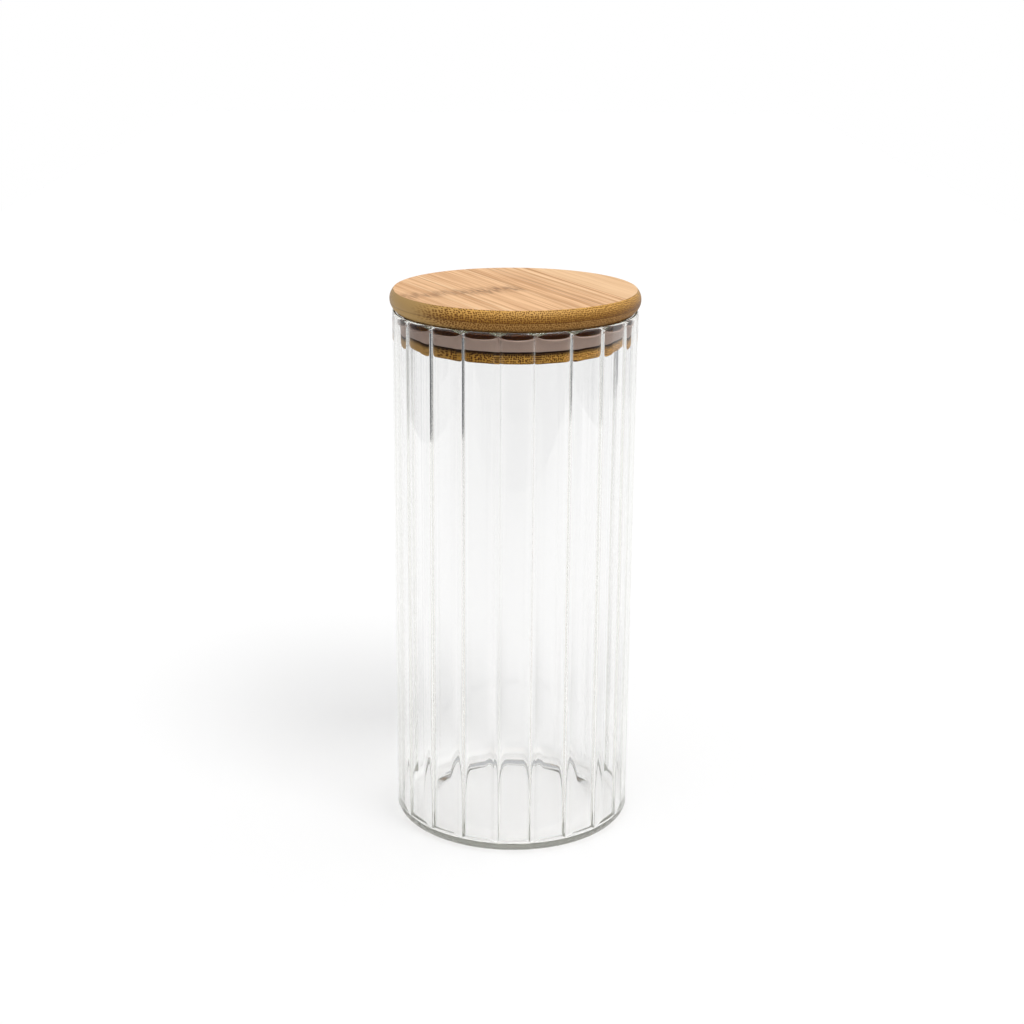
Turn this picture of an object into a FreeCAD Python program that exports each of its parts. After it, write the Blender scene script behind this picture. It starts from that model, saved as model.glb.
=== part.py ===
"""Lidded glass canister: a ribbed glass jar, a laminated bamboo lid and a silicone seal.

Millimetres, +Z up. The origin is the centre of the jar's standing face.
The lid is three plies of bamboo strips, glued side by side and turned to one round shape.
"""

import FreeCAD
import Part
import math
import os

# Jar, one piece of blown borosilicate glass
JAR_DIAMETER = 85.0
JAR_HEIGHT = 186.0
WALL = 1.2
BASE_THICKNESS = 3.0
HEEL_RADIUS = 3.4  # outside corner at the foot
INNER_HEEL_RADIUS = 4.0  # inside corner at the floor
FOOT_WIDTH = 6.0  # flat ring that the jar stands on
KICK_DEPTH = 0.8  # hollow under the base, inside the foot ring
KICK_SLOPE_WIDTH = 5.0  # sloping band between the foot ring and the hollow's flat top

# Ribs on the inside of the glass, under a smooth outside
RIB_COUNT = 20
RIB_HEIGHT = 0.8
RIB_TIP_RADIUS = 0.7
RIB_FILLET_RADIUS = 2.5
RIB_FADE = 1.6  # height over which a rib melts away below the polished rim

# Lid outline, turned from the laminated board
LID_OVERHANG = 0.8  # the lid's widest line stands out past the glass
FLANGE_THICKNESS = 7.2
LID_TOP_INSET = 1.35  # the round side draws in this much at the top face
LID_UNDER_INSET = 2.2  # and this much at the underside
LID_BELLY_HEIGHT = 4.0  # widest line, above the underside
LID_SEAT_GAP = 0.1  # underside above the glass rim, with the seal gripping
PLUG_DEPTH = 11.4
PLUG_CLEARANCE = 2.9  # plug to the crests of the ribs, bridged by the seal
PLUG_EDGE_CHAMFER = 0.5

# Groove round the plug for the seal
GROOVE_START = 2.0  # below the underside
GROOVE_WIDTH = 5.2
GROOVE_DEPTH = 3.0

# Bamboo board
PLY_NAMES = ("lid_top", "lid_core", "lid_plug")
TOP_PLY_THICKNESS = 4.2  # the other plies share the rest of the lid's height evenly
PLY_SHIFTS = (0.06, 0.5, -0.06)  # the glue line nearest the centre of each ply, in strip widths
STRIP_WIDTH = 22.4
NARROWEST_STRIP = 3.0  # at a ply's edge a narrower sliver isn't laid: the next strip reaches the edge
ACROSS_GRAIN_ANGLE = 26.3  # direction across the strips, from +X

# Silicone seal: a band in the groove with a lip that flares up to the glass
SEAL_FIT_GAP = 0.1  # band to the groove's walls and floor
SEAL_LIP_GAP = 0.15  # lip to the crests of the ribs
SEAL_LIP_THICKNESS = 0.9
SEAL_STANDOUT = 0.9  # foot of the lip, past the plug
SEAL_LIP_DROP = 0.4  # lip's tip, below the top of the band
SEAL_ROOT_HEIGHT = 1.4  # solid foot below the cleft between band and lip
SEAL_CLEFT = 0.5  # width of that cleft at its root

# Derived sizes
OUTER_RADIUS = JAR_DIAMETER / 2
BORE_RADIUS = OUTER_RADIUS - WALL
CREST_RADIUS = BORE_RADIUS - RIB_HEIGHT
RIB_PITCH = 2 * math.pi / RIB_COUNT
LID_RADIUS = OUTER_RADIUS + LID_OVERHANG
UNDERSIDE_Z = JAR_HEIGHT + LID_SEAT_GAP
LID_TOP_Z = UNDERSIDE_Z + FLANGE_THICKNESS
PLUG_RADIUS = CREST_RADIUS - PLUG_CLEARANCE
PLUG_BOTTOM_Z = UNDERSIDE_Z - PLUG_DEPTH
GROOVE_TOP_Z = UNDERSIDE_Z - GROOVE_START
GROOVE_BOTTOM_Z = GROOVE_TOP_Z - GROOVE_WIDTH
GROOVE_RADIUS = PLUG_RADIUS - GROOVE_DEPTH
LOWER_PLY_THICKNESS = (FLANGE_THICKNESS + PLUG_DEPTH - TOP_PLY_THICKNESS) / (len(PLY_NAMES) - 1)

OUT_FOLDER = "parts"
CUTTER_MARGIN = 5.0  # cutting tools reach past the work by this much
FULL_TURN = 360.0


def polar(radius, angle, z=0.0):
    """Point at a radius and an angle in radians, at height z."""
    return FreeCAD.Vector(radius * math.cos(angle), radius * math.sin(angle), z)


def profile_point(radius, z):
    """Point of a half section in the XZ plane."""
    return FreeCAD.Vector(radius, 0, z)


def line(start, end):
    """Straight edge between two points."""
    return Part.makeLine(start, end)


def arc(start, middle, end):
    """Round edge through three points."""
    return Part.Arc(start, middle, end).toShape()


def turned(edges):
    """Solid of revolution about Z from the closed half section that the edges make."""
    face = Part.Face(Part.Wire(edges))
    axis_point = FreeCAD.Vector(0, 0, 0)
    return face.revolve(axis_point, FreeCAD.Vector(0, 0, 1), FULL_TURN)


def round_corner(centre, radius, start_degrees, end_degrees):
    """Arc of a half section about a centre, from one direction to another."""
    def at(degrees):
        turn = math.radians(degrees)
        return centre + FreeCAD.Vector(radius * math.cos(turn), 0, radius * math.sin(turn))

    return arc(at(start_degrees), at((start_degrees + end_degrees) / 2), at(end_degrees))


def ribbed_bore_wire(z):
    """Closed outline of the ribbed bore: panels, and on each rib a round tip between two fillets."""
    tip_centre_radius = CREST_RADIUS + RIB_TIP_RADIUS
    fillet_centre_radius = BORE_RADIUS - RIB_FILLET_RADIUS
    centre_gap = RIB_TIP_RADIUS + RIB_FILLET_RADIUS
    cosine = (tip_centre_radius**2 + fillet_centre_radius**2 - centre_gap**2) / (
        2 * tip_centre_radius * fillet_centre_radius
    )
    fillet_turn = math.acos(cosine)

    def between(start_centre, end_centre, distance):
        step = end_centre - start_centre
        return start_centre + step * (distance / step.Length)

    def fillet_middle(centre, first, second):
        away = (first - centre) + (second - centre)
        return centre + away * (RIB_FILLET_RADIUS / away.Length)

    edges = []
    for index in range(RIB_COUNT):
        rib = (index + 0.5) * RIB_PITCH
        tip_centre = polar(tip_centre_radius, rib, z)
        before = polar(fillet_centre_radius, rib - fillet_turn, z)
        after = polar(fillet_centre_radius, rib + fillet_turn, z)
        panel_end = polar(BORE_RADIUS, rib - fillet_turn, z)
        next_panel = polar(BORE_RADIUS, rib + fillet_turn, z)
        tip_start = between(tip_centre, before, RIB_TIP_RADIUS)
        tip_end = between(tip_centre, after, RIB_TIP_RADIUS)
        panel_start = polar(BORE_RADIUS, rib - RIB_PITCH + fillet_turn, z)
        panel_middle = polar(BORE_RADIUS, rib - RIB_PITCH / 2, z)
        edges.append(arc(panel_start, panel_middle, panel_end))
        edges.append(arc(panel_end, fillet_middle(before, panel_end, tip_start), tip_start))
        edges.append(arc(tip_start, polar(CREST_RADIUS, rib, z), tip_end))
        edges.append(arc(tip_end, fillet_middle(after, tip_end, next_panel), next_panel))
    return Part.Wire(edges)


def glass_blank():
    """The jar's smooth outside as a full solid, with its foot ring, hollow base and half-round rim."""
    rim_radius = WALL / 2
    rim_centre = profile_point(OUTER_RADIUS - rim_radius, JAR_HEIGHT - rim_radius)
    heel_centre = profile_point(OUTER_RADIUS - HEEL_RADIUS, HEEL_RADIUS)
    foot_inner = OUTER_RADIUS - HEEL_RADIUS - FOOT_WIDTH
    hollow_edge = foot_inner - KICK_SLOPE_WIDTH
    rim_start = profile_point(OUTER_RADIUS, JAR_HEIGHT - rim_radius)
    rim_top = profile_point(OUTER_RADIUS - rim_radius, JAR_HEIGHT)
    return turned([
        line(profile_point(0, KICK_DEPTH), profile_point(hollow_edge, KICK_DEPTH)),
        line(profile_point(hollow_edge, KICK_DEPTH), profile_point(foot_inner, 0)),
        line(profile_point(foot_inner, 0), profile_point(OUTER_RADIUS - HEEL_RADIUS, 0)),
        round_corner(heel_centre, HEEL_RADIUS, -90, 0),
        line(profile_point(OUTER_RADIUS, HEEL_RADIUS), rim_start),
        round_corner(rim_centre, rim_radius, 0, 90),
        line(rim_top, profile_point(0, JAR_HEIGHT)),
        line(profile_point(0, JAR_HEIGHT), profile_point(0, KICK_DEPTH)),
    ])


def round_bottomed_bore():
    """Plain round bore with the inside heel, which ends the ribs at the floor."""
    heel_centre = profile_point(BORE_RADIUS - INNER_HEEL_RADIUS, BASE_THICKNESS + INNER_HEEL_RADIUS)
    reach = BORE_RADIUS + CUTTER_MARGIN
    shoulder_z = BASE_THICKNESS + INNER_HEEL_RADIUS
    top_z = JAR_HEIGHT + CUTTER_MARGIN
    return turned([
        line(profile_point(0, BASE_THICKNESS), profile_point(heel_centre.x, BASE_THICKNESS)),
        round_corner(heel_centre, INNER_HEEL_RADIUS, -90, 0),
        line(profile_point(BORE_RADIUS, shoulder_z), profile_point(reach, shoulder_z)),
        line(profile_point(reach, shoulder_z), profile_point(reach, top_z)),
        line(profile_point(reach, top_z), profile_point(0, top_z)),
        line(profile_point(0, top_z), profile_point(0, BASE_THICKNESS)),
    ])


def rim_polish():
    """What fire polishing takes off the inside of the rim: its corner, and the top of each rib."""
    rim_radius = WALL / 2
    centre = profile_point(BORE_RADIUS + rim_radius, JAR_HEIGHT - rim_radius)
    top_z = JAR_HEIGHT + CUTTER_MARGIN
    fade_radius = CREST_RADIUS - RIB_HEIGHT
    fade_z = JAR_HEIGHT - rim_radius - 2 * RIB_FADE
    rim_top = profile_point(centre.x, JAR_HEIGHT)
    bore_edge = profile_point(BORE_RADIUS, JAR_HEIGHT - rim_radius)
    fade_end = profile_point(fade_radius, fade_z)
    return turned([
        line(profile_point(0, top_z), profile_point(centre.x, top_z)),
        line(profile_point(centre.x, top_z), rim_top),
        round_corner(centre, rim_radius, 90, 180),
        line(bore_edge, fade_end),
        line(fade_end, profile_point(0, fade_z)),
        line(profile_point(0, fade_z), profile_point(0, top_z)),
    ])


def glass_jar():
    """Jar: smooth outside, ribbed inside, half-round rim and a hollow base."""
    bore_depth = JAR_HEIGHT + CUTTER_MARGIN - BASE_THICKNESS
    prism = Part.Face(ribbed_bore_wire(BASE_THICKNESS)).extrude(FreeCAD.Vector(0, 0, bore_depth))
    hollow = prism.common(round_bottomed_bore())
    return glass_blank().cut(hollow).cut(rim_polish())


def side_arc(inset, end_z):
    """Half of the lid's round side: upright at the widest line, drawn in by an inset at its end."""
    belly_z = UNDERSIDE_Z + LID_BELLY_HEIGHT
    rise = end_z - belly_z
    radius = (rise**2 + inset**2) / (2 * inset)
    half_turn = math.asin(rise / radius) / 2
    centre_radius = LID_RADIUS - radius
    middle = profile_point(
        centre_radius + radius * math.cos(half_turn), belly_z + radius * math.sin(half_turn)
    )
    return arc(profile_point(LID_RADIUS, belly_z), middle, profile_point(LID_RADIUS - inset, end_z))


def whole_lid():
    """The lid's full turned shape: round-sided flange, plug and the groove for the seal."""
    chamfer_z = PLUG_BOTTOM_Z + PLUG_EDGE_CHAMFER
    chamfer_radius = PLUG_RADIUS - PLUG_EDGE_CHAMFER
    corners = [
        profile_point(LID_RADIUS - LID_UNDER_INSET, UNDERSIDE_Z),
        profile_point(PLUG_RADIUS, UNDERSIDE_Z),
        profile_point(PLUG_RADIUS, GROOVE_TOP_Z),
        profile_point(GROOVE_RADIUS, GROOVE_TOP_Z),
        profile_point(GROOVE_RADIUS, GROOVE_BOTTOM_Z),
        profile_point(PLUG_RADIUS, GROOVE_BOTTOM_Z),
        profile_point(PLUG_RADIUS, chamfer_z),
        profile_point(chamfer_radius, PLUG_BOTTOM_Z),
        profile_point(0, PLUG_BOTTOM_Z),
        profile_point(0, LID_TOP_Z),
        profile_point(LID_RADIUS - LID_TOP_INSET, LID_TOP_Z),
    ]
    outline = [line(start, end) for start, end in zip(corners, corners[1:])]
    outline.append(side_arc(LID_TOP_INSET, LID_TOP_Z))
    outline.append(side_arc(LID_UNDER_INSET, UNDERSIDE_Z))
    return turned(outline)


def strip_cutter(across_start, across_end, bottom_z, height):
    """Box of one strip's width and thickness, as long as the lid, laid along the grain."""
    half_length = LID_RADIUS + CUTTER_MARGIN
    corner = FreeCAD.Vector(across_start, -half_length, bottom_z)
    box = Part.makeBox(across_end - across_start, 2 * half_length, height, corner)
    box.rotate(FreeCAD.Vector(0, 0, 0), FreeCAD.Vector(0, 0, 1), ACROSS_GRAIN_ANGLE)
    return box


def glue_lines(shift, half_width):
    """Places across a ply where one strip meets the next, and its two outer ends."""
    room = half_width - NARROWEST_STRIP
    first = math.ceil(-room / STRIP_WIDTH - shift)
    last = math.floor(room / STRIP_WIDTH - shift)
    inner = [(shift + count) * STRIP_WIDTH for count in range(first, last + 1)]
    reach = half_width + CUTTER_MARGIN
    return [-reach] + inner + [reach]


def lid_strips():
    """Every bamboo strip by its node's name, cut out of the whole lid ply by ply from the top."""
    lid = whole_lid()
    strips = {}
    top_z = LID_TOP_Z
    for name, shift in zip(PLY_NAMES, PLY_SHIFTS):
        thickness = TOP_PLY_THICKNESS if name == PLY_NAMES[0] else LOWER_PLY_THICKNESS
        half_width = LID_RADIUS if top_z > UNDERSIDE_Z else PLUG_RADIUS
        lines = glue_lines(shift, half_width)
        for number, (start, end) in enumerate(zip(lines, lines[1:]), 1):
            cutter = strip_cutter(start, end, top_z - thickness, thickness)
            strips[f"{name}_strip_{number}"] = lid.common(cutter)
        top_z -= thickness
    return strips


def seal_ring():
    """Silicone seal: a band that fills the groove, and a lip that rises outwards from its foot."""
    band_radius = GROOVE_RADIUS + SEAL_FIT_GAP
    bottom_z = GROOVE_BOTTOM_Z + SEAL_FIT_GAP
    top_z = GROOVE_TOP_Z - SEAL_FIT_GAP
    root_z = bottom_z + SEAL_ROOT_HEIGHT
    tip_radius = CREST_RADIUS - SEAL_LIP_GAP
    tip_z = top_z - SEAL_LIP_DROP
    lip_inner_radius = tip_radius - SEAL_LIP_THICKNESS
    foot_radius = PLUG_RADIUS + SEAL_STANDOUT
    root_radius = foot_radius - SEAL_LIP_THICKNESS
    cleft_radius = root_radius - SEAL_CLEFT
    half_lip = SEAL_LIP_THICKNESS / 2
    tip_middle = profile_point(tip_radius - half_lip, tip_z + half_lip)
    corners = [
        profile_point(lip_inner_radius, tip_z),
        profile_point(root_radius, root_z),
        profile_point(cleft_radius, root_z),
        profile_point(cleft_radius, top_z),
        profile_point(band_radius, top_z),
        profile_point(band_radius, bottom_z),
        profile_point(foot_radius, bottom_z),
        profile_point(tip_radius, tip_z),
    ]
    outline = [line(start, end) for start, end in zip(corners, corners[1:])]
    outline.append(arc(corners[-1], tip_middle, corners[0]))
    return turned(outline)


def main():
    """Builds every piece and writes it to its own file."""
    pieces = {"glass_jar": glass_jar(), "seal_ring": seal_ring()}
    pieces.update(lid_strips())
    os.makedirs(OUT_FOLDER, exist_ok=True)
    for name, shape in pieces.items():
        shape.exportStep(os.path.join(OUT_FOLDER, f"{name}.step"))
        box = shape.optimalBoundingBox()
        print(f"{name}: {len(shape.Solids)} solid, {shape.Volume / 1000:.2f} cm3, valid {shape.isValid()},"
              f" z {box.ZMin:.2f} to {box.ZMax:.2f}")


main()
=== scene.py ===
"""Glass canister with a bamboo lid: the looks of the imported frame, in metres and the frame's axes."""

import logging
import math
from dataclasses import dataclass
from enum import Enum

import bpy
from mathutils import Matrix, Vector


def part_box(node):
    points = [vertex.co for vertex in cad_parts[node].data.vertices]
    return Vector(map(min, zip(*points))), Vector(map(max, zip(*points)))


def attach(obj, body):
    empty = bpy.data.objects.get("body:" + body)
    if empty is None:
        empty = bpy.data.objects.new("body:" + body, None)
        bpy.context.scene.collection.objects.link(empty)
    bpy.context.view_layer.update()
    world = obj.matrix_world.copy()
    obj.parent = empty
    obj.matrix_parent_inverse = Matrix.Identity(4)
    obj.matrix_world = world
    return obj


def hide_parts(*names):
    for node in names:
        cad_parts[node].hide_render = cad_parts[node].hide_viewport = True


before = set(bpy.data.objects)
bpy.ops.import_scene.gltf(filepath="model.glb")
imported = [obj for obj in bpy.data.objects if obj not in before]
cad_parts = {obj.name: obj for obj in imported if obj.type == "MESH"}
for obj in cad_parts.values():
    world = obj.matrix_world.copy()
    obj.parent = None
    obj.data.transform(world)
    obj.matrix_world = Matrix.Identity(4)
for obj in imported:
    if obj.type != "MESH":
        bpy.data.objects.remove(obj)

LOG = logging.getLogger("canister")
MM = 0.001
WHITE = (1.0, 1.0, 1.0, 1.0)
BLACK = (0.0, 0.0, 0.0, 1.0)
ONE_BOUNCE = 0.5  # a ray depth above this has bounced at least once
NO_RIB = -20 * MM  # a rib limit below zero leaves a row of the profile plain

# Kinds of node that the trees use often
MATH = "ShaderNodeMath"
MAPPING = "ShaderNodeMapping"
MAP_RANGE = "ShaderNodeMapRange"
MIX_COLOUR = "ShaderNodeMixRGB"
NOISE = "ShaderNodeTexNoise"
SPLIT = "ShaderNodeSeparateXYZ"
VECTOR_MATH = "ShaderNodeVectorMath"
PRINCIPLED = "ShaderNodeBsdfPrincipled"
SURFACE_OUT = "ShaderNodeOutputMaterial"

# Setting of a Map Range node that eases in and out
EASED = {"interpolation_type": "SMOOTHSTEP"}


class Body(Enum):
    """The bodies that pieces ride on."""

    JAR = "jar"
    SEAL = "seal"


class Slot(Enum):
    """The record's material slots."""

    GLASS = "glass"
    SILICONE = "silicone"


def linear(hex_colour: str) -> tuple[float, float, float, float]:
    """Turns an sRGB hex colour into linear RGBA.

    Args:
        hex_colour: Six hex digits, such as "E8BD91".

    Returns:
        Linear red, green, blue and an alpha of 1.
    """
    channels = [int(hex_colour[i:i + 2], 16) / 255 for i in (0, 2, 4)]
    lin = [c / 12.92 if c <= 0.04045 else ((c + 0.055) / 1.055) ** 2.4 for c in channels]
    return (*lin, 1.0)


def add_node(tree: bpy.types.NodeTree, kind: str, *values: object,
             **named: object) -> bpy.types.NodeSocket | None:
    """Adds one node with its settings, values and links.

    Args:
        tree: The tree that gets the node.
        kind: The node's type, such as "ShaderNodeMath".
        values: Numbers, colours or output sockets for the first inputs, in order.
        named: Settings of the node by their lower-case names, and inputs by their capitalised names,
            with _ for a space.

    Returns:
        The node's first output, from which .node gives the others, or None where it has no output.
    """
    node = tree.nodes.new(kind)
    fed: dict[int | str, object] = dict(enumerate(values))
    for name, value in named.items():
        if name[0].islower():
            setattr(node, name, value)
        else:
            fed[name.replace("_", " ")] = value
    for key, value in fed.items():
        if isinstance(value, bpy.types.NodeSocket):
            tree.links.new(value, node.inputs[key])
        else:
            node.inputs[key].default_value = value
    return node.outputs[0] if node.outputs else None


def new_material(name: str) -> tuple[bpy.types.Material, bpy.types.NodeTree]:
    """Makes an empty node material.

    Args:
        name: The material's name.

    Returns:
        The material and its node tree.
    """
    material = bpy.data.materials.new(name)
    material.use_nodes = True
    material.node_tree.nodes.clear()
    return material, material.node_tree


@dataclass(frozen=True)
class BorosilicateFinish:
    """Drawn borosilicate glass, fire-polished: clear, with bright and dark lines at its ribs."""

    tint: str = "FCFCFC"
    ior: float = 1.473
    shadow_clear: float = 0.985
    shadow_edge: float = 0.45
    depth_tint: str = "DADACD"
    depth_density: float = 16.0
    edge_blend: float = 0.35
    edge_power: float = 3.0

    def material(self) -> bpy.types.Material:
        """Builds the glass, which lets lamp light through to what stands in it and behind it.

        Returns:
            The glass, with a faint tint that grows with its depth.
        """
        material, tree = new_material("borosilicate_glass_fire_polished")
        glass = add_node(tree, PRINCIPLED, Base_Color=linear(self.tint), Roughness=0.0, IOR=self.ior,
                         Transmission_Weight=1.0)
        facing = add_node(tree, "ShaderNodeLayerWeight", Blend=self.edge_blend).node.outputs["Facing"]
        edge = add_node(tree, MATH, facing, self.edge_power, operation="POWER")
        passed = add_node(tree, MAP_RANGE, edge, To_Min=self.shadow_clear, To_Max=self.shadow_edge)
        clear = add_node(tree, "ShaderNodeBsdfTransparent", Color=passed)
        shadow = add_node(tree, "ShaderNodeLightPath").node.outputs["Is Shadow Ray"]
        mixed = add_node(tree, "ShaderNodeMixShader", shadow, glass, clear)
        deep = add_node(tree, "ShaderNodeVolumeAbsorption", linear(self.depth_tint), self.depth_density)
        add_node(tree, SURFACE_OUT, Surface=mixed, Volume=deep)
        return material


@dataclass(frozen=True)
class SiliconeFinish:
    """Moulded silicone, undyed: grey-pink, matt, with a faint mottle from its filler."""

    colour: str = "BEA597"
    roughness: float = 0.5
    mottle_mm: float = 3.0
    grain_mm: float = 0.25
    mottle_depth: float = 0.12
    ior: float = 1.41
    sheen: float = 0.2
    bump_strength: float = 0.15
    bump_mm: float = 0.05

    def material(self) -> bpy.types.Material:
        """Builds the silicone with a faint mould grain.

        Returns:
            The silicone.
        """
        material, tree = new_material("silicone_moulded_matt")
        place = add_node(tree, "ShaderNodeTexCoord").node.outputs["Object"]
        mottle = add_node(tree, NOISE, place, Scale=1 / (self.mottle_mm * MM), Detail=2.0)
        tone = add_node(tree, MIX_COLOUR, self.mottle_depth, linear(self.colour), mottle,
                        blend_type="MULTIPLY")
        grain = add_node(tree, NOISE, place, Scale=1 / (self.grain_mm * MM), Detail=1.0)
        bump = add_node(tree, "ShaderNodeBump", Strength=self.bump_strength,
                        Distance=self.bump_mm * MM, Height=grain)
        skin = add_node(tree, PRINCIPLED, Base_Color=tone, Roughness=self.roughness, IOR=self.ior,
                        Specular_IOR_Level=self.sheen, Normal=bump)
        add_node(tree, SURFACE_OUT, Surface=skin)
        return material


@dataclass(frozen=True)
class Vein:
    """A darker or paler line along a strip's grain, in millimetres across the grain."""

    across: float
    width: float
    depth: float
    colour: str = "B9834E"


@dataclass(frozen=True)
class Knuckle:
    """The brown smudge where the stem had a joint, in millimetres along the grain."""

    along: float
    spread: float
    depth: float
    colour: str = "8E6238"


@dataclass(frozen=True)
class Line:
    """A dark line round a strip's edge, such as glue, or painted shade or shadow where parts meet, in
    millimetres above the table.
    """

    height: float
    width: float
    depth: float
    colour: str = "4A2E0E"


@dataclass(frozen=True)
class BambooFinish:
    """Strip bamboo, sanded and oiled: pale streaks along the grain, golden brown dots on its ends.

    Pairs of millimetres give a noise's size across and along the grain. Turns are the share of a face's
    direction, and ranges the ends of a noise and what they become.
    """

    name: str
    seed: float
    low_z: float
    high_z: float
    veins: tuple[Vein, ...] = ()
    knuckle: Knuckle | None = None
    lines: tuple[Line, ...] = ()
    pale_colour: str = "F7C795"
    streak_colour: str = "C8915C"
    side_colour: str = "AB8A55"
    end_pale_colour: str = "D6A457"
    # painted shade: the end grain's colour at the bottom of the ply, darker than at its top
    end_shaded_colour: str = "895E1E"
    dot_colour: str = "5F370E"
    grain_deg: float = 26.3
    bundle_mm: float = 0.6
    dot_low: float = 0.56
    dot_high: float = 0.42
    wander_mm: float = 1.6
    sheen: float = 0.15
    roughness: float = 0.45
    bend_mm: tuple[float, float] = (9.0, 60.0)
    fine_mm: tuple[float, float] = (0.5, 32.0)
    broad_mm: tuple[float, float] = (2.4, 90.0)
    patch_mm: tuple[float, float] = (4.0, 16.0)
    sway_mm: tuple[float, float] = (2.0, 40.0)
    dash_mm: tuple[float, float] = (0.8, 6.0)
    knuckle_sway_mm: float = 8.0
    streak_gain: float = 2.0
    streak_start: float = -1.62
    bundle_gain: float = 0.12
    dot_core: float = 0.45
    cell_jitter: float = 0.55
    seed_steps: tuple[float, float, float] = (7.1, 3.7, 1.3)
    cell_steps: tuple[float, float] = (7.1, 3.3)
    patch_range: tuple[float, float, float, float] = (0.3, 0.7, 0.55, 1.0)
    dash_range: tuple[float, float, float, float] = (0.36, 0.62, 0.15, 1.0)
    end_turns: tuple[float, float] = (0.15, 0.6)
    dot_turns: tuple[float, float] = (0.1, 0.5)
    flat_turns: tuple[float, float] = (0.98, 0.85)
    bump_strength: float = 0.2
    bump_mm: float = 0.05

    def material(self) -> bpy.types.Material:
        """Builds the strip's bamboo: fibre bundles show as streaks or as dots, by how a face cuts them.

        Returns:
            The strip's own bamboo.
        """
        material, tree = new_material(self.name)
        coords = add_node(tree, "ShaderNodeTexCoord").node.outputs
        unturn = (0.0, 0.0, -math.radians(self.grain_deg))
        place = add_node(tree, MAPPING, coords["Object"], Rotation=unturn)
        facing = add_node(tree, MAPPING, coords["Normal"], Rotation=unturn, vector_type="NORMAL")
        faced = add_node(tree, SPLIT, facing).node.outputs
        end = add_node(tree, MATH, faced["Y"], operation="ABSOLUTE")
        flat = add_node(tree, MATH, faced["Z"], operation="ABSOLUTE")
        side, along, height = add_node(tree, SPLIT, place).node.outputs[:3]

        def stretched(across_mm: float, along_mm: float, detail: float) -> bpy.types.NodeSocket:
            """Noise drawn out along the grain.

            Args:
                across_mm: Size of its features across the grain.
                along_mm: Size of its features along the grain.
                detail: Number of finer layers.

            Returns:
                The noise, from 0 to 1.
            """
            scale = (1 / (across_mm * MM), 1 / (along_mm * MM), 1 / (across_mm * MM))
            step_across, step_along, step_up = self.seed_steps
            shift = (self.seed * step_across + across_mm, self.seed * step_along, self.seed * step_up)
            moved = add_node(tree, MAPPING, place, shift, (0.0, 0.0, 0.0), scale)
            return add_node(tree, NOISE, moved, Scale=1.0, Detail=detail)

        bend = add_node(tree, MATH, stretched(*self.bend_mm, 1.0), 0.5, operation="SUBTRACT")
        across = add_node(tree, MATH, bend, self.wander_mm * MM, side, operation="MULTIPLY_ADD")

        # Fibre bundles: a plane pattern across the grain, dots where it is cut square
        cell = 1 / (self.bundle_mm * MM)
        shift_across, shift_up = (self.seed * step for step in self.cell_steps)
        cell_across = add_node(tree, MATH, across, cell, shift_across, operation="MULTIPLY_ADD")
        cell_up = add_node(tree, MATH, height, cell, shift_up, operation="MULTIPLY_ADD")
        cell_place = add_node(tree, "ShaderNodeCombineXYZ", cell_across, cell_up, 0.0)
        gap = add_node(tree, "ShaderNodeTexVoronoi", cell_place, Scale=1.0, Randomness=self.cell_jitter,
                       voronoi_dimensions="2D")
        reach = add_node(tree, MAP_RANGE, height, self.low_z, self.high_z, self.dot_low, self.dot_high)
        core = add_node(tree, MATH, reach, self.dot_core, operation="MULTIPLY")
        bundle = add_node(tree, MAP_RANGE, gap, reach, core, **EASED)

        # Long grain: fine streaks over broad bands, with the strip's own veins and knuckle
        fine = stretched(*self.fine_mm, 2.0)
        broad = stretched(*self.broad_mm, 2.0)
        streak = add_node(tree, MATH, fine, self.streak_gain, self.streak_start, operation="MULTIPLY_ADD")
        streak = add_node(tree, MATH, broad, self.streak_gain, streak, operation="MULTIPLY_ADD")
        streak = add_node(tree, MATH, bundle, self.bundle_gain, streak, operation="MULTIPLY_ADD",
                          use_clamp=True)
        tone = add_node(tree, MIX_COLOUR, streak, linear(self.pale_colour), linear(self.streak_colour))
        patchy = add_node(tree, MAP_RANGE, stretched(*self.patch_mm, 1.0), *self.patch_range)
        for vein in self.veins:
            away = add_node(tree, MATH, across, vein.across * MM, operation="SUBTRACT")
            away = add_node(tree, MATH, away, operation="ABSOLUTE")
            mask = add_node(tree, MAP_RANGE, away, vein.width * MM, 0.0, 0.0, vein.depth, **EASED)
            mask = add_node(tree, MATH, mask, patchy, operation="MULTIPLY")
            tone = add_node(tree, MIX_COLOUR, mask, tone, linear(vein.colour))
        if self.knuckle:
            sway = add_node(tree, MATH, stretched(*self.sway_mm, 1.0), 0.5, operation="SUBTRACT")
            off = add_node(tree, MATH, sway, self.knuckle_sway_mm * MM, along, operation="MULTIPLY_ADD")
            off = add_node(tree, MATH, off, self.knuckle.along * MM, operation="SUBTRACT")
            off = add_node(tree, MATH, off, operation="ABSOLUTE")
            band = add_node(tree, MAP_RANGE, off, self.knuckle.spread * MM, 0.0, **EASED)
            dash = add_node(tree, MAP_RANGE, stretched(*self.dash_mm, 1.0), *self.dash_range)
            mask = add_node(tree, MATH, band, dash, operation="MULTIPLY")
            mask = add_node(tree, MATH, mask, self.knuckle.depth, operation="MULTIPLY")
            tone = add_node(tree, MIX_COLOUR, mask, tone, linear(self.knuckle.colour))
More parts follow.
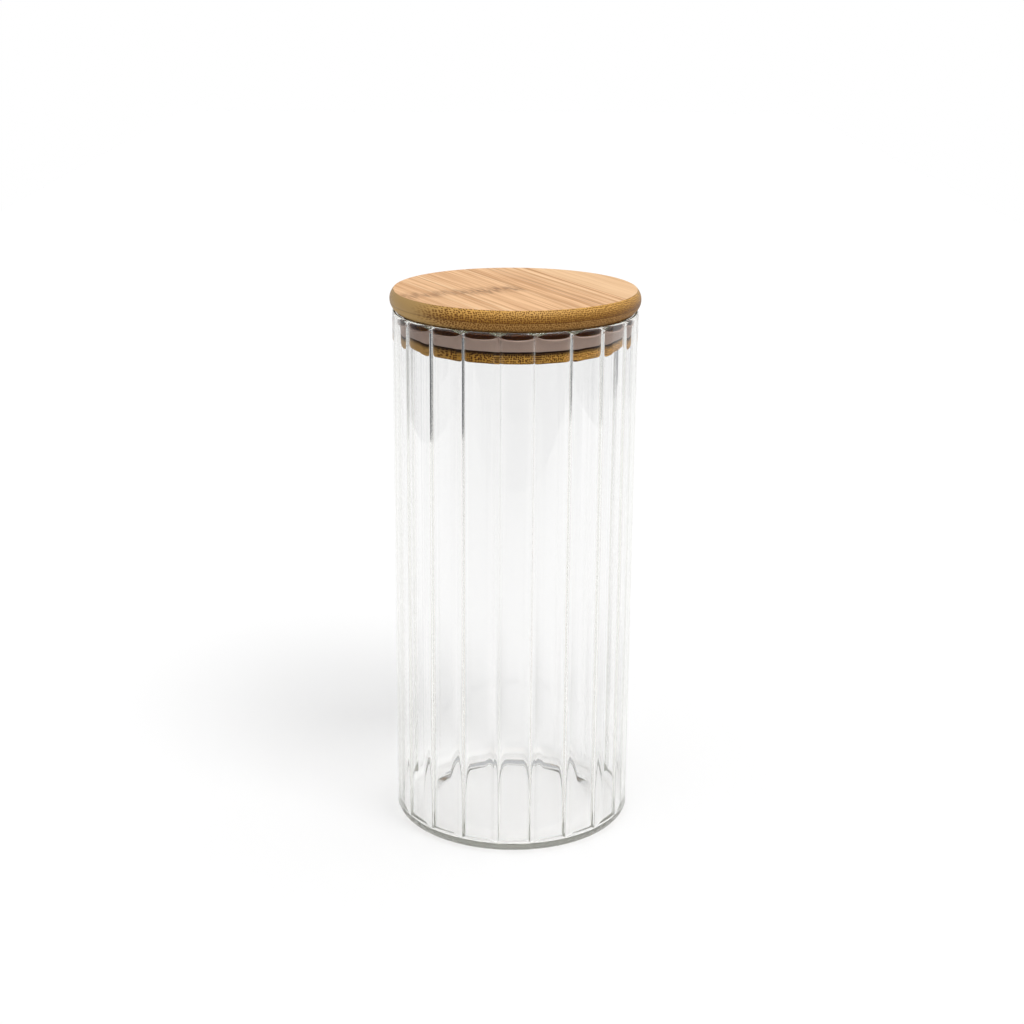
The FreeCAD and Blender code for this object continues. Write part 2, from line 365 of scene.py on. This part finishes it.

        # Sides: end grain, darker towards the bottom of the ply as painted shade, or plain long grain
        sunk = add_node(tree, MAP_RANGE, height, self.high_z, self.low_z, **EASED)
        pale = linear(self.end_pale_colour)
        ground = add_node(tree, MIX_COLOUR, sunk, pale, linear(self.end_shaded_colour))
        crossed = add_node(tree, MAP_RANGE, end, *self.end_turns, **EASED)
        ground = add_node(tree, MIX_COLOUR, crossed, linear(self.side_colour), ground)
        dotted = add_node(tree, MAP_RANGE, end, *self.dot_turns, **EASED)
        dotted = add_node(tree, MATH, dotted, bundle, operation="MULTIPLY")
        ground = add_node(tree, MIX_COLOUR, dotted, ground, linear(self.dot_colour))
        for line in self.lines:
            away = add_node(tree, MATH, height, line.height * MM, operation="SUBTRACT")
            away = add_node(tree, MATH, away, operation="ABSOLUTE")
            mask = add_node(tree, MAP_RANGE, away, line.width * MM, 0.0, 0.0, line.depth, **EASED)
            ground = add_node(tree, MIX_COLOUR, mask, ground, linear(line.colour))
        cut = add_node(tree, MAP_RANGE, flat, *self.flat_turns, **EASED)
        tone = add_node(tree, MIX_COLOUR, cut, tone, ground)
        bump = add_node(tree, "ShaderNodeBump", Strength=self.bump_strength,
                        Distance=self.bump_mm * MM, Height=fine)
        wood = add_node(tree, PRINCIPLED, Base_Color=tone, Roughness=self.roughness,
                        Specular_IOR_Level=self.sheen, Normal=bump)
        add_node(tree, SURFACE_OUT, Surface=wood)
        return material


@dataclass(frozen=True)
class Row:
    """One point of a half section that is turned about Z, in metres."""

    radius: float
    z: float
    rib_limit: float = NO_RIB
    rib_blend: float = 0.0
    wave_reach: float = 0.0
    wave_drop: float = 0.0


@dataclass
class RibbedTurning:
    """Turns a half section about Z and sinks evenly spaced ribs, or waves, into it with Geometry Nodes."""

    rib_count: int = 20
    columns_per_rib: int = 40
    bore_radius: float = 41.3 * MM
    rib_height: float = 1.2 * MM
    tip_radius: float = 1.4 * MM
    fillet_radius: float = 4.4 * MM
    gather: float = 0.6
    weld: float = 0.0005 * MM

    def tree(self) -> bpy.types.NodeTree:
        """Builds the node tree.

        Returns:
            A geometry tree with the turning's sizes as named inputs.
        """
        tree = bpy.data.node_groups.new("ribbed_turning", "GeometryNodeTree")
        face = tree.interface
        face.new_socket("Geometry", in_out="INPUT", socket_type="NodeSocketGeometry")
        face.new_socket("Half Section", in_out="INPUT", socket_type="NodeSocketObject")
        for name in ("Rib Count", "Columns per Rib"):
            face.new_socket(name, in_out="INPUT", socket_type="NodeSocketInt")
        for name in ("Bore Radius", "Rib Height", "Tip Radius", "Fillet Radius", "Gather"):
            face.new_socket(name, in_out="INPUT", socket_type="NodeSocketFloat")
        face.new_socket("Material", in_out="INPUT", socket_type="NodeSocketMaterial")
        face.new_socket("Geometry", in_out="OUTPUT", socket_type="NodeSocketGeometry")
        given = tree.nodes.new("NodeGroupInput").outputs
        bore = given["Bore Radius"]
        tip = given["Tip Radius"]
        fillet = given["Fillet Radius"]
        per_rib = given["Columns per Rib"]

        # A sheet with one column for each turn step and one row for each point of the half section
        source = add_node(tree, "GeometryNodeObjectInfo", Object=given["Half Section"]).node
        section = source.outputs["Geometry"]
        rows = add_node(tree, "GeometryNodeAttributeDomainSize", Geometry=section)
        columns = add_node(tree, MATH, given["Rib Count"], per_rib, 1.0, operation="MULTIPLY_ADD")
        sheet = add_node(tree, "GeometryNodeMeshGrid", Vertices_X=columns, Vertices_Y=rows)
        index = add_node(tree, "GeometryNodeInputIndex")
        inside = add_node(tree, MATH, index, 0.5, operation="ADD")
        column = add_node(tree, MATH, inside, rows, operation="DIVIDE")
        column = add_node(tree, MATH, column, operation="FLOOR")
        row = add_node(tree, MATH, index, rows, operation="MODULO")

        def of_row(name: str) -> bpy.types.NodeSocket:
            """A number that the half section keeps for the row."""
            kept = add_node(tree, "GeometryNodeInputNamedAttribute", name, data_type="FLOAT")
            return add_node(tree, "GeometryNodeSampleIndex", Geometry=section, Value=kept, Index=row,
                            data_type="FLOAT", domain="POINT")

        # Turn of a column, with the columns gathered towards the middle of each rib
        steps = add_node(tree, MATH, column, per_rib, operation="DIVIDE")
        cell = add_node(tree, MATH, steps, operation="FLOOR")
        off = add_node(tree, MATH, steps, operation="FRACT")
        off = add_node(tree, MATH, off, 0.5, operation="SUBTRACT")
        swing = add_node(tree, MATH, off, math.tau, operation="MULTIPLY")
        swing = add_node(tree, MATH, swing, operation="SINE")
        pull = add_node(tree, MATH, given["Gather"], math.tau, operation="DIVIDE")
        bent = add_node(tree, MATH, swing, pull, operation="MULTIPLY")
        bent = add_node(tree, MATH, off, bent, operation="SUBTRACT")
        pitch = add_node(tree, MATH, math.tau, given["Rib Count"], operation="DIVIDE")
        rib_turn = add_node(tree, MATH, cell, 0.5, operation="ADD")
        rib_turn = add_node(tree, MATH, rib_turn, bent, operation="ADD")
        turn = add_node(tree, MATH, pitch, rib_turn, operation="MULTIPLY")

        # Rib section: a round tip that runs into a hollow fillet on each side
        aside = add_node(tree, MATH, bent, operation="ABSOLUTE")
        aside = add_node(tree, MATH, aside, pitch, operation="MULTIPLY")
        aside = add_node(tree, MATH, aside, bore, operation="MULTIPLY")
        both = add_node(tree, MATH, tip, fillet, operation="ADD")
        rise = add_node(tree, MATH, both, given["Rib Height"], operation="SUBTRACT")
        both_square = add_node(tree, MATH, both, both, operation="MULTIPLY")
        rise_square = add_node(tree, MATH, rise, rise, operation="MULTIPLY")
        spread = add_node(tree, MATH, both_square, rise_square, operation="SUBTRACT")
        half_width = add_node(tree, MATH, spread, operation="SQRT")
        tip_share = add_node(tree, MATH, tip, both, operation="DIVIDE")
        meet = add_node(tree, MATH, half_width, tip_share, operation="MULTIPLY")
        tip_square = add_node(tree, MATH, tip, tip, operation="MULTIPLY")
        aside_square = add_node(tree, MATH, aside, aside, operation="MULTIPLY")
        room = add_node(tree, MATH, tip_square, aside_square, operation="SUBTRACT")
        crown = add_node(tree, MATH, room, 0.0, operation="MAXIMUM")
        crown = add_node(tree, MATH, crown, operation="SQRT")
        sunk = add_node(tree, MATH, given["Rib Height"], tip, operation="SUBTRACT")
        crown = add_node(tree, MATH, sunk, crown, operation="ADD")
        left = add_node(tree, MATH, half_width, aside, operation="SUBTRACT")
        left = add_node(tree, MATH, left, 0.0, operation="MAXIMUM")
        fillet_square = add_node(tree, MATH, fillet, fillet, operation="MULTIPLY")
        left_square = add_node(tree, MATH, left, left, operation="MULTIPLY")
        room = add_node(tree, MATH, fillet_square, left_square, operation="SUBTRACT")
        hollow = add_node(tree, MATH, room, 0.0, operation="MAXIMUM")
        hollow = add_node(tree, MATH, hollow, operation="SQRT")
        hollow = add_node(tree, MATH, fillet, hollow, operation="SUBTRACT")
        on_tip = add_node(tree, MATH, aside, meet, operation="LESS_THAN")
        rib = add_node(tree, "ShaderNodeMix", on_tip, A=hollow, B=crown)
        rib = add_node(tree, MATH, rib, of_row("rib_limit"), operation="MINIMUM")
        wall = add_node(tree, MATH, bore, rib, operation="SUBTRACT")
        radius = add_node(tree, MATH, of_row("radius"), wall, of_row("rib_blend"), operation="SMOOTH_MIN")

        # Wave: nothing at a rib, full half way between two ribs
        from_rib = add_node(tree, MATH, off, operation="ABSOLUTE")
        from_rib = add_node(tree, MATH, from_rib, 2.0, operation="MULTIPLY")
        wave = add_node(tree, MATH, 2.0, from_rib, operation="SUBTRACT")
        wave = add_node(tree, MATH, from_rib, wave, operation="MULTIPLY")
        radius = add_node(tree, MATH, of_row("wave_reach"), wave, radius, operation="MULTIPLY_ADD")
        drop = add_node(tree, MATH, of_row("wave_drop"), wave, operation="MULTIPLY")
        height = add_node(tree, MATH, of_row("height"), drop, operation="SUBTRACT")
        east = add_node(tree, MATH, turn, operation="COSINE")
        east = add_node(tree, MATH, radius, east, operation="MULTIPLY")
        north = add_node(tree, MATH, turn, operation="SINE")
        north = add_node(tree, MATH, radius, north, operation="MULTIPLY")
        place = add_node(tree, "ShaderNodeCombineXYZ", east, north, height)
        shaped = add_node(tree, "GeometryNodeSetPosition", Geometry=sheet, Position=place)
        closed = add_node(tree, "GeometryNodeMergeByDistance", Geometry=shaped, Distance=self.weld)
        smooth = add_node(tree, "GeometryNodeSetShadeSmooth", Geometry=closed, Shade_Smooth=True)
        real = add_node(tree, "GeometryNodeRealizeInstances", Geometry=smooth)
        dressed = add_node(tree, "GeometryNodeSetMaterial", Geometry=real, Material=given["Material"])
        add_node(tree, "NodeGroupOutput", dressed)
        return tree

    def build(self, name: str, rows: list[Row], material: bpy.types.Material) -> bpy.types.Object:
        """Turns one half section into a plain mesh.

        Args:
            name: The piece's name.
            rows: The half section in order, with the solid on its left going up the outside.
            material: The piece's material.

        Returns:
            The finished object, at the origin.
        """
        section = bpy.data.meshes.new(f"{name}_half_section")
        section.from_pydata([(row.radius, 0.0, row.z) for row in rows], [], [])
        kept = {"radius": "radius", "height": "z", "rib_limit": "rib_limit", "rib_blend": "rib_blend",
                "wave_reach": "wave_reach", "wave_drop": "wave_drop"}
        for label, source in kept.items():
            layer = section.attributes.new(label, "FLOAT", "POINT")
            layer.data.foreach_set("value", [getattr(row, source) for row in rows])
        helper = bpy.data.objects.new(f"{name}_half_section", section)
        piece = bpy.data.objects.new(name, bpy.data.meshes.new(f"{name}_start"))
        for item in (helper, piece):
            bpy.context.scene.collection.objects.link(item)
        tree = self.tree()
        modifier = piece.modifiers.new("ribbed_turning", "NODES")
        modifier.node_group = tree
        values = {
            "Half Section": helper,
            "Rib Count": self.rib_count,
            "Columns per Rib": self.columns_per_rib,
            "Bore Radius": self.bore_radius,
            "Rib Height": self.rib_height,
            "Tip Radius": self.tip_radius,
            "Fillet Radius": self.fillet_radius,
            "Gather": self.gather,
            "Material": material,
        }
        for item in tree.interface.items_tree:
            if item.in_out == "INPUT" and item.name in values:
                modifier[item.identifier] = values[item.name]
        bpy.context.view_layer.update()
        graph = bpy.context.evaluated_depsgraph_get()
        mesh = bpy.data.meshes.new_from_object(piece.evaluated_get(graph))
        piece.modifiers.remove(modifier)
        piece.data = mesh
        mesh.name = name
        bpy.data.objects.remove(helper)
        LOG.info("%s: %d vertices, %d faces", name, len(mesh.vertices), len(mesh.polygons))
        return piece


def arc_rows(centre_radius: float, centre_z: float, radius: float, start_deg: float, end_deg: float,
             steps: int, **extra: float) -> list[Row]:
    """Rows along a round corner of a half section.

    Args:
        centre_radius: The arc's centre, from the axis.
        centre_z: The arc's centre, height.
        radius: The arc's radius.
        start_deg: Direction of its first point, from straight out.
        end_deg: Direction of its last point.
        steps: Number of steps between them.
        extra: Other values that every row of the arc keeps.

    Returns:
        The rows in order, both ends included.
    """
    rows = []
    for step in range(steps + 1):
        turn = math.radians(start_deg + (end_deg - start_deg) * step / steps)
        out = radius * math.cos(turn)
        up = radius * math.sin(turn)
        rows.append(Row(centre_radius + out, centre_z + up, **extra))
    return rows


@dataclass
class GlassJar:
    """The jar: smooth outside, ribbed inside, polished rim, rounded heel and a hollow foot."""

    outer_radius: float = 42.5 * MM
    height: float = 186.0 * MM
    wall: float = 1.2 * MM
    base: float = 2.2 * MM
    heel: float = 3.4 * MM
    inner_heel: float = 4.0 * MM
    foot_width: float = 6.0 * MM
    kick: float = 0.8 * MM
    kick_slope: float = 5.0 * MM
    rib_fade: float = 0.8 * MM

    def rows(self, turning: RibbedTurning) -> list[Row]:
        """The half section, from the middle of the foot up the outside, over the rim and down to the floor.

        Args:
            turning: The turning that sinks the ribs into it.

        Returns:
            The rows in order.
        """
        bore = self.outer_radius - self.wall
        half = self.wall / 2
        foot_out = self.outer_radius - self.heel
        foot_in = foot_out - self.foot_width
        hollow = foot_in - self.kick_slope
        rows = [Row(0.0, self.kick), Row(hollow * 0.5, self.kick), Row(hollow - 1.0 * MM, self.kick)]
        rows += [Row(hollow, self.kick - 0.04 * MM), Row(hollow + 1.0 * MM, self.kick - 0.2 * MM)]
        rows += [Row(foot_in - 1.0 * MM, 0.16 * MM), Row(foot_in - 0.1 * MM, 0.03 * MM)]
        rows += [Row(foot_in + 0.6 * MM, 0.0), Row(foot_out - 1.0 * MM, 0.0)]
        rows += arc_rows(foot_out, self.heel, self.heel, -90, 0, 12)
        top = self.height - half
        rise = top - self.heel
        wall_steps = (0.004, 0.02, 0.1, 0.3, 0.5, 0.7, 0.9, 0.98, 0.997)
        rows += [Row(self.outer_radius, self.heel + rise * t) for t in wall_steps]
        rows += arc_rows(self.outer_radius - half, top, half, 0, 90, 8)
        rows += arc_rows(self.outer_radius - half, top, half, 90, 180, 8, rib_limit=0.0)[1:]
        for t in (0.15, 0.3, 0.45, 0.6, 0.75, 0.9, 1.05, 1.3):
            rows.append(Row(bore, top - self.rib_fade * t, turning.rib_height * t))
        shoulder = self.base + self.inner_heel
        full = turning.rib_height * 2
        low = top - 2 * self.rib_fade
        bore_steps = (1.0, 0.95, 0.75, 0.5, 0.25, 0.05)
        rows += [Row(bore, shoulder + (low - shoulder) * t, full) for t in bore_steps]
        rows += arc_rows(bore - self.inner_heel, shoulder, self.inner_heel, 0, -90, 16, rib_limit=full,
                         rib_blend=0.25 * MM)
        rows += [Row(bore * t, self.base) for t in (0.85, 0.6, 0.3, 0.0)]
        return rows

    def build(self, turning: RibbedTurning, finish: BorosilicateFinish) -> bpy.types.Object:
        """Makes the jar and sets it in place of the plain solid.

        Args:
            turning: The turning that makes its mesh.
            finish: Its glass.

        Returns:
            The finished jar.
        """
        piece = turning.build("ribbed_glass_jar", self.rows(turning), finish.material())
        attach(piece, Body.JAR.value)
        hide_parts("glass_jar")
        return piece


@dataclass
class SealRing:
    """A band in the plug's groove and a soft lip that rises to the glass and sags between the ribs."""

    band_radius: float = 34.7 * MM
    bottom_z: float = 179.0 * MM
    top_z: float = 181.4 * MM
    root_height: float = 1.4 * MM
    foot_radius: float = 38.5 * MM
    foot_round: float = 0.3 * MM
    tip_radius: float = 39.95 * MM
    tip_z: float = 184.15 * MM
    lip: float = 0.9 * MM
    cleft: float = 0.5 * MM
    wave_reach: float = 1.15 * MM
    wave_drop: float = 1.2 * MM

    def rows(self) -> list[Row]:
        """The half section, once round from the foot's inner corner up the outside of the lip and back.

        Returns:
            The rows in order.
        """
        root_z = self.bottom_z + self.root_height
        root = self.foot_radius - self.lip
        cleft = root - self.cleft
        half = self.lip / 2
        corner = self.foot_round

        def lip_row(start: float, end: float, start_z: float, t: float) -> Row:
            """A row part of the way up the lip, which waves more the higher it is."""
            return Row(start + (end - start) * t, start_z + (self.tip_z - start_z) * t,
                       wave_reach=self.wave_reach * t * t, wave_drop=self.wave_drop * t * t)

        rows = [Row(self.band_radius, self.bottom_z), Row(self.foot_radius - 2 * corner, self.bottom_z)]
        rows += arc_rows(self.foot_radius - corner, self.bottom_z + corner, corner, -90, 0, 4)
        for t in (0.2, 0.4, 0.6, 0.8, 0.95):
            rows.append(lip_row(self.foot_radius, self.tip_radius, self.bottom_z, t))
        rows += arc_rows(self.tip_radius - half, self.tip_z, half, 0, 180, 10, wave_reach=self.wave_reach,
                         wave_drop=self.wave_drop)
        for t in (0.75, 0.5, 0.25):
            rows.append(lip_row(root, self.tip_radius - self.lip, root_z, t))
        edge = 0.1 * MM
        rows += [Row(root, root_z), Row(cleft, root_z), Row(cleft, root_z + 2 * edge)]
        rows += [Row(cleft, self.top_z - edge), Row(cleft - edge, self.top_z)]
        rows += [Row(self.band_radius + edge, self.top_z), Row(self.band_radius, self.top_z - edge)]
        rows += [Row(self.band_radius, self.bottom_z)]
        return rows

    def build(self, turning: RibbedTurning, finish: SiliconeFinish) -> bpy.types.Object:
        """Makes the seal and sets it in place of the plain solid.

        Args:
            turning: The turning that makes its mesh.
            finish: Its silicone.

        Returns:
            The finished seal.
        """
        piece = turning.build("silicone_seal", self.rows(), finish.material())
        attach(piece, Body.SEAL.value)
        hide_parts("seal_ring")
        return piece


@dataclass
class BambooLid:
    """The lid's strips, which keep their solids and get a bamboo of their own each."""

    core_count: int = 5
    plug_count: int = 4
    joint_places: tuple[float, ...] = (-21.06, 1.34, 23.74)
    joint_width: float = 0.22
    joint_depth: float = 0.5
    joint_colour: str = "96683C"
    glue: Line = Line(189.1, 0.35, 0.6)

    def features(self) -> dict[str, dict[str, object]]:
        """What sets the top strips apart from each other.

        Returns:
            Settings of the finish by node name.
        """
        grey = "A98A6C"
        pale = "FFDDB0"
        return {
            "lid_top_strip_1": {
                "veins": (Vein(-32.0, 0.9, 0.35), Vein(-29.0, 0.8, 0.5, pale), Vein(-25.3, 0.6, 0.45),
                          Vein(-24.0, 0.5, 0.5, pale)),
                "knuckle": Knuckle(1.5, 8.0, 0.7),
            },
            "lid_top_strip_2": {
                "veins": (Vein(-20.6, 0.9, 0.6, pale), Vein(-19.0, 0.5, 0.4), Vein(-15.0, 0.5, 0.4),
                          Vein(-6.0, 0.7, 0.35), Vein(0.5, 0.7, 0.5, pale)),
                "knuckle": Knuckle(-0.4, 9.0, 0.85),
            },
            "lid_top_strip_3": {
                "veins": (Vein(2.2, 0.8, 0.75), Vein(9.2, 0.45, 0.65, grey), Vein(11.4, 0.5, 0.65, grey),
                          Vein(13.1, 0.5, 0.4, pale), Vein(15.0, 0.9, 0.6), Vein(17.0, 0.7, 0.7, pale),
                          Vein(18.6, 0.6, 0.85), Vein(20.2, 0.8, 0.8, pale), Vein(22.3, 1.0, 0.95)),
            },
            "lid_top_strip_4": {
                "veins": (Vein(24.3, 0.6, 0.3, pale),),
                "pale_colour": "F6CB9B",
                "streak_colour": "E0B07C",
            },
        }

    def tones(self) -> dict[str, dict[str, object]]:
        """What sets the two lower plies apart from the top one.

        Returns:
            Settings of the finish by node name.
        """
        # painted shade: the neck between the lid's underside and the seal is a deeper brown, for the lid's
        # shade there
        painted_neck_shade = Line(183.6, 2.3, 0.97, "9A5A10")
        # painted shade: a thin dark line at the lid's lower edge, just above the glass rim
        painted_rim_shade = Line(186.2, 0.5, 0.8)
        # painted shadow: a dark line on the plug right under the seal's foot, which overhangs it
        painted_seal_shadow = Line(178.6, 1.9, 1.0, "2E1A08")
        core = {"end_pale_colour": "A17842", "end_shaded_colour": "976E3A", "dot_colour": "5E3A14",
                "bundle_mm": 0.6, "dot_low": 0.48, "dot_high": 0.48, "sheen": 0.05,
                "lines": (painted_neck_shade, painted_rim_shade)}
        plug = {"end_pale_colour": "CA9844", "end_shaded_colour": "BE8C3C", "dot_colour": "4A2A0A",
                "side_colour": "C69C5E", "bundle_mm": 0.72, "dot_low": 0.5, "dot_high": 0.5, "sheen": 0.0,
                "lines": (painted_seal_shadow,)}
        mid_plug = plug | {"end_pale_colour": "D6A450", "end_shaded_colour": "CA9846"}
        pale_plug = plug | {"end_pale_colour": "F2BA62", "end_shaded_colour": "E6AE58",
                            "dot_colour": "6A4218", "side_colour": "E4BC7C"}
        tones = {f"lid_core_strip_{number + 1}": core for number in range(self.core_count)}
        tones |= {f"lid_plug_strip_{number + 1}": plug for number in range(self.plug_count)}
        tones["lid_plug_strip_2"] = mid_plug
        tones["lid_plug_strip_3"] = pale_plug
        tones["lid_plug_strip_4"] = pale_plug
        return tones

    def dress(self) -> None:
        """Gives every strip its finish."""
        joints = tuple(Vein(place, self.joint_width, self.joint_depth, self.joint_colour)
                       for place in self.joint_places)
        settings_by_name = self.features()
        for settings in settings_by_name.values():
            settings["veins"] += joints
            settings["lines"] = (self.glue,)
        settings_by_name |= self.tones()
        for seed, (name, settings) in enumerate(settings_by_name.items(), 1):
            low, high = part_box(name)
            finish = BambooFinish(f"bamboo_sanded_oiled_{name}", float(seed), low[2], high[2], **settings)
            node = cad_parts[name]
            node.data.materials.clear()
            node.data.materials.append(finish.material())
            LOG.info("%s: dressed", name)


@dataclass(frozen=True)
class Camera:
    """The photograph's viewpoint, found from the outlines of the glass and the lid."""

    azimuth_deg: float = -1.2
    distance: float = 629.3 * MM
    height: float = 305.4 * MM
    pitch_deg: float = 17.02
    yaw_deg: float = -0.06
    roll_deg: float = 0.40
    lens_mm: float = 64.92
    sensor_mm: float = 36.0

    def build(self) -> None:
        """Makes the scene's camera."""
        data = bpy.data.cameras.new("camera")
        data.lens = self.lens_mm
        data.sensor_width = self.sensor_mm
        data.clip_start = 0.01
        camera = bpy.data.objects.new("camera", data)
        bpy.context.scene.collection.objects.link(camera)
        turn = Matrix.Rotation(math.radians(self.azimuth_deg), 4, "Z")
        aim = Matrix.Rotation(math.radians(-self.yaw_deg), 4, "Z")
        tilt = Matrix.Rotation(math.radians(90 - self.pitch_deg), 4, "X")
        roll = Matrix.Rotation(math.radians(self.roll_deg), 4, "Z")
        stand = Matrix.Translation((0, -self.distance, self.height))
        camera.matrix_world = turn @ stand @ aim @ tilt @ roll
        bpy.context.scene.camera = camera


@dataclass
class Studio:
    """White table, one broad soft lamp from the front right, and pale surroundings with a dim side.

    Levels are heights of a direction, from -1 straight down to 1 straight up.
    """

    table_front: float = -0.49
    table_left: float = -0.58
    table_right: float = 0.62
    table_back: float = 3.0
    table_z: float = -0.1 * MM
    table_colour: str = "F4F4F4"
    table_roughness: float = 0.9
    table_glow: float = 0.045
    table_dim: float = 0.3
    base_shade: float = 0.95
    base_radius: float = 41.0 * MM
    dim_start: float = 0.22
    dim_end: float = 0.5
    key_way: tuple[float, float, float] = (62.0, -100.0, 190.0)
    key_angle_deg: float = 32.0
    key_strength: float = 1.5
    ambient: float = 0.68
    dim_colour: tuple[float, float, float, float] = (0.05, 0.056, 0.075, 1.0)
    upper_colour: tuple[float, float, float, float] = (0.55, 0.56, 0.58, 1.0)
    light_side: tuple[float, float, float] = (0.3, 0.95, 0.0)
    dim_top_levels: tuple[float, float] = (-0.13, -0.17)
    dim_bottom_levels: tuple[float, float] = (-0.36, -0.30)
    dim_sides: tuple[float, float] = (0.5, -0.1)
    upper_levels: tuple[float, float] = (0.02, 0.2)
    bounces: int = 96
    clear_bounces: int = 32

    def build(self) -> None:
        """Makes the table, the lamp and the world."""
        self.table()
        self.key()
        self.world()
        cycles = bpy.context.scene.cycles
        cycles.max_bounces = self.bounces
        cycles.transmission_bounces = self.bounces
        cycles.glossy_bounces = self.bounces
        cycles.transparent_max_bounces = self.clear_bounces

    def table(self) -> None:
        """A matt white table top that glows a little, dimmer in reflections where it lies off the light."""
        sides = (self.table_left, self.table_right)
        corners = [(x, self.table_front, self.table_z) for x in sides]
        corners += [(x, self.table_back, self.table_z) for x in reversed(sides)]
        mesh = bpy.data.meshes.new("white_table")
        mesh.from_pydata(corners, [], [tuple(range(len(corners)))])
        table = bpy.data.objects.new("white_table", mesh)
        bpy.context.scene.collection.objects.link(table)
        material, tree = new_material("laminate_matt_white")
        place = add_node(tree, "ShaderNodeTexCoord").node.outputs["Object"]
        towards = add_node(tree, VECTOR_MATH, place, self.light_side, operation="DOT_PRODUCT").node
        lit = add_node(tree, MAP_RANGE, towards.outputs["Value"], -self.dim_end, -self.dim_start,
                       self.table_dim, 1.0)
        path = add_node(tree, "ShaderNodeLightPath").node.outputs
        straight = add_node(tree, MATH, path["Glossy Depth"], ONE_BOUNCE, operation="LESS_THAN")
        lit = add_node(tree, MATH, lit, straight, operation="MAXIMUM")
        # painted shade: the table is a little darker in a disc under the jar's foot, for the shade of the
        # glass base
        out = add_node(tree, VECTOR_MATH, place, operation="LENGTH").node.outputs["Value"]
        shade = add_node(tree, MAP_RANGE, out, self.base_radius - 2 * MM, self.base_radius,
                         self.base_shade, 1.0)
        lit = add_node(tree, MATH, lit, shade, operation="MULTIPLY")
        glow = add_node(tree, MATH, lit, self.table_glow, operation="MULTIPLY")
        white = add_node(tree, MIX_COLOUR, lit, BLACK, linear(self.table_colour))
        paint = add_node(tree, PRINCIPLED, Base_Color=white, Roughness=self.table_roughness,
                         Specular_IOR_Level=0.0, Emission_Color=WHITE, Emission_Strength=glow)
        add_node(tree, SURFACE_OUT, Surface=paint)
        mesh.materials.append(material)

    def key(self) -> None:
        """One broad soft lamp, high at the front right."""
        data = bpy.data.lights.new("key", "SUN")
        data.angle = math.radians(self.key_angle_deg)
        data.energy = self.key_strength
        lamp = bpy.data.objects.new("key", data)
        bpy.context.scene.collection.objects.link(lamp)
        lamp.matrix_world = (-Vector(self.key_way)).to_track_quat("-Z", "Y").to_matrix().to_4x4()
        lamp.visible_transmission = False

    def world(self) -> None:
        """White for the camera and through clear glass, dim where the glass mirrors what lies low."""
        world = bpy.data.worlds.new("studio")
        bpy.context.scene.world = world
        world.use_nodes = True
        tree = world.node_tree
        tree.nodes.clear()
        path = add_node(tree, "ShaderNodeLightPath").node.outputs
        way = add_node(tree, "ShaderNodeTexCoord").node.outputs["Generated"]
        level = add_node(tree, SPLIT, way).node.outputs["Z"]
        under = add_node(tree, MAP_RANGE, level, *self.dim_top_levels, **EASED)
        over = add_node(tree, MAP_RANGE, level, *self.dim_bottom_levels, **EASED)
        towards = add_node(tree, VECTOR_MATH, way, self.light_side, operation="DOT_PRODUCT").node
        away = add_node(tree, MAP_RANGE, towards.outputs["Value"], *self.dim_sides, **EASED)
        dim = add_node(tree, MATH, under, over, operation="MULTIPLY")
        dim = add_node(tree, MATH, dim, away, operation="MULTIPLY")
        high = add_node(tree, MAP_RANGE, level, *self.upper_levels, **EASED)
        room = add_node(tree, MIX_COLOUR, high, WHITE, self.upper_colour)
        mirrored = add_node(tree, MATH, path["Glossy Depth"], ONE_BOUNCE, operation="GREATER_THAN")
        dim = add_node(tree, MATH, dim, mirrored, operation="MULTIPLY")
        room = add_node(tree, MIX_COLOUR, dim, room, self.dim_colour)
        through = path["Is Transmission Ray"]
        clear = add_node(tree, MATH, path["Is Glossy Ray"], through, operation="MAXIMUM")
        first = add_node(tree, MATH, path["Diffuse Depth"], ONE_BOUNCE, operation="LESS_THAN")
        clear = add_node(tree, MATH, clear, first, operation="MULTIPLY")
        soft = (self.ambient, self.ambient, self.ambient, 1.0)
        lit = add_node(tree, MIX_COLOUR, clear, soft, room)
        lit = add_node(tree, MIX_COLOUR, path["Is Camera Ray"], lit, WHITE)
        glow = add_node(tree, "ShaderNodeBackground", lit, 1.0)
        add_node(tree, "ShaderNodeOutputWorld", Surface=glow)


def main() -> None:
    """Builds the canister's looks."""
    logging.basicConfig(level=logging.INFO, format="%(message)s")
    bpy.context.scene.view_settings.view_transform = "Standard"
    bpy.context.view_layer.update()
    Camera().build()
    Studio().build()
    turning = RibbedTurning()
    GlassJar().build(turning, BorosilicateFinish())
    SealRing().build(turning, SiliconeFinish())
    BambooLid().dress()


if __name__ == "__main__":
    main()
